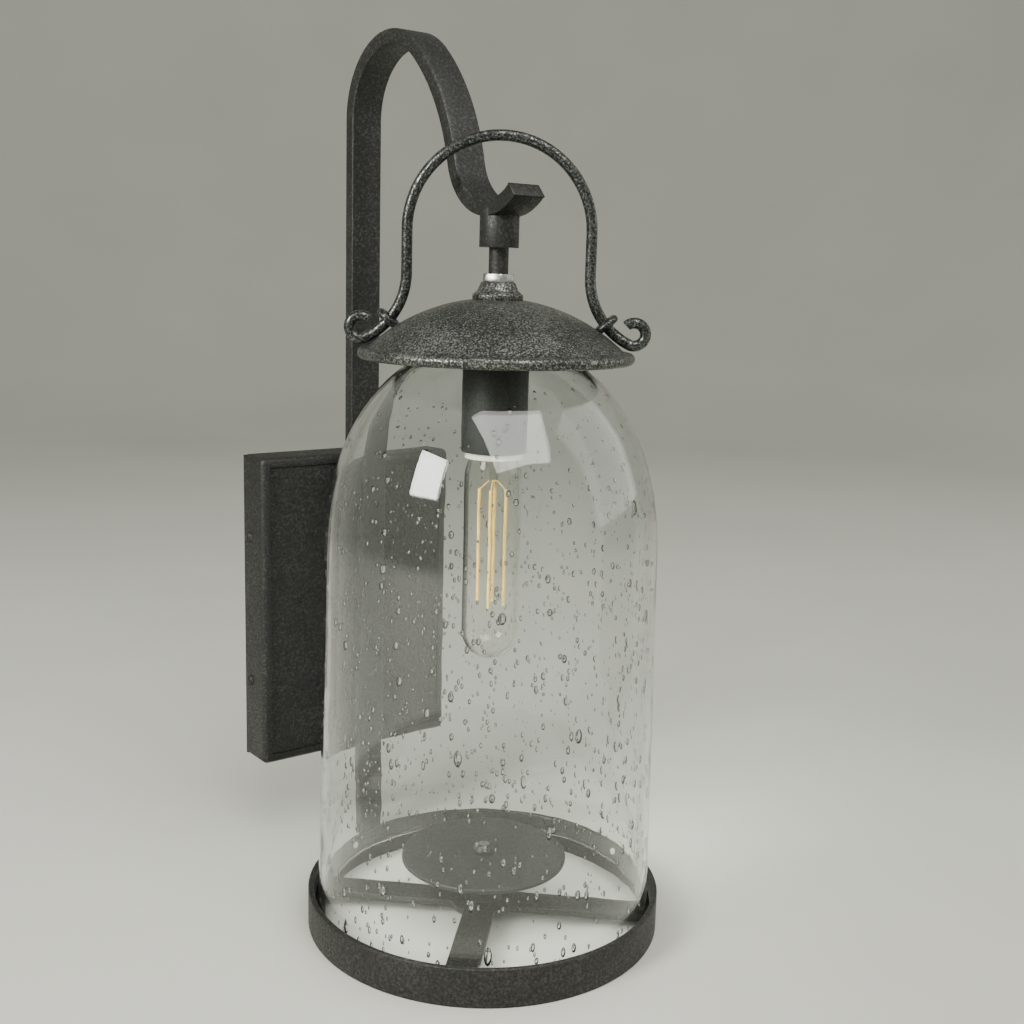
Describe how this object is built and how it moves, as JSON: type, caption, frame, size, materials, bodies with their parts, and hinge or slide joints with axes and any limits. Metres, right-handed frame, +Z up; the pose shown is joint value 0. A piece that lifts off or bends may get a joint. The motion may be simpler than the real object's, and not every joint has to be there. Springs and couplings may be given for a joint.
{
  "type": "outdoor wall lantern",
  "caption": "Wall lantern: a hook arm on a rectangular canopy carries a domed cap, a seeded bell glass and a round base, with a wire bail, a swivel stem and a tubular bulb.",
  "frame": {"origin": "centre of the canopy on the wall plane", "axes": "+Z up, +Y into the wall, so the lantern stands off towards -Y; +X to the right seen from the front"},
  "size_m": [0.191, 0.2575, 0.477],
  "materials": {
    "iron_plate": "dark textured powder coat",
    "iron_panel": "dark coarse textured powder coat",
    "iron_arm": "dark textured powder coat",
    "iron_ring": "dark textured powder coat",
    "grey_paint": "grey satin paint",
    "cap_paint": "mottled pewter powder coat",
    "bail_paint": "mottled pewter powder coat",
    "swivel_paint": "dark textured powder coat",
    "dark_screw": "painted screw",
    "zinc_steel": "zinc plated",
    "green_screw": "green ground screw",
    "seeded_glass": "clear seeded blown glass",
    "bulb_glass": "clear",
    "filament": "coated filament strips",
    "brass": "plain",
    "nickel": "nickel plated",
    "porcelain": "glazed",
    "lamp_cup": "dark satin paint",
    "foam_rubber": "closed cell foam",
    "rubber": "moulded",
    "nylon": "moulded nylon",
    "lead_jacket": "extruded jacket"
  },
  "bodies": {
    "bracket": {"back_plate": "iron_plate", "front_panel": "iron_panel", "wall_gasket": "foam_rubber", "mounting_bracket": "zinc_steel", "canopy_screws": "dark_screw", "ground_screw": "green_screw", "arm": "iron_arm", "arm_tail_plug": "iron_arm", "arm_tip_plug": "iron_arm", "arm_screws": "zinc_steel", "arm_nut_blocks": "zinc_steel", "wire_bushing": "rubber", "lead_arm": "lead_jacket", "terminal_block": "nylon", "swivel_housing": "swivel_paint", "swivel_ring": "swivel_paint"},
    "lantern": {"bail_eye_left": "cap_paint", "bail_eye_right": "cap_paint", "base_cross": "iron_ring", "base_ring": "iron_ring", "cap": "cap_paint", "cap_collar": "cap_paint", "cap_nut": "zinc_steel", "centre_contact": "brass", "cup_nut": "zinc_steel", "disc_nut": "grey_paint", "disc_post": "grey_paint", "foot_gasket": "rubber", "glare_disc": "grey_paint", "glass": "seeded_glass", "glass_seat": "zinc_steel", "hub_nut": "zinc_steel", "lamp_cup": "lamp_cup", "lead_stem": "lead_jacket", "lower_gasket": "rubber", "post_rod": "zinc_steel", "ring_pads": "nylon", "ring_screws": "dark_screw", "screw_shell": "brass", "seat_nut": "zinc_steel", "socket_insulator": "porcelain", "stem": "zinc_steel", "stem_top_nut": "zinc_steel", "swivel_washer": "nylon", "upper_gasket": "rubber"},
    "bail": {"bail": "bail_paint"},
    "bulb": {"bulb_glass": "bulb_glass", "bulb_base": "nickel", "bulb_contact": "brass", "bulb_mount": "bulb_glass", "bulb_filaments": "filament"}
  },
  "joints": [
    {"name": "lantern_swivel", "type": "hinge", "parent": "bracket", "child": "lantern", "pos_m": [0, -0.162, 0.22], "axis": [0, 0, 1], "range_deg": [-15, 90]},
    {"name": "bail_tilt", "type": "hinge", "parent": "lantern", "child": "bail", "pos_m": [0, -0.162, 0.17724], "axis": [0.7771, -0.6293, 0], "range_deg": [-2, 12]},
    {"name": "bulb_turn", "type": "hinge", "parent": "lantern", "child": "bulb", "pos_m": [0, -0.162, 0.06], "axis": [0, 0, 1], "continuous": true}
  ]
}
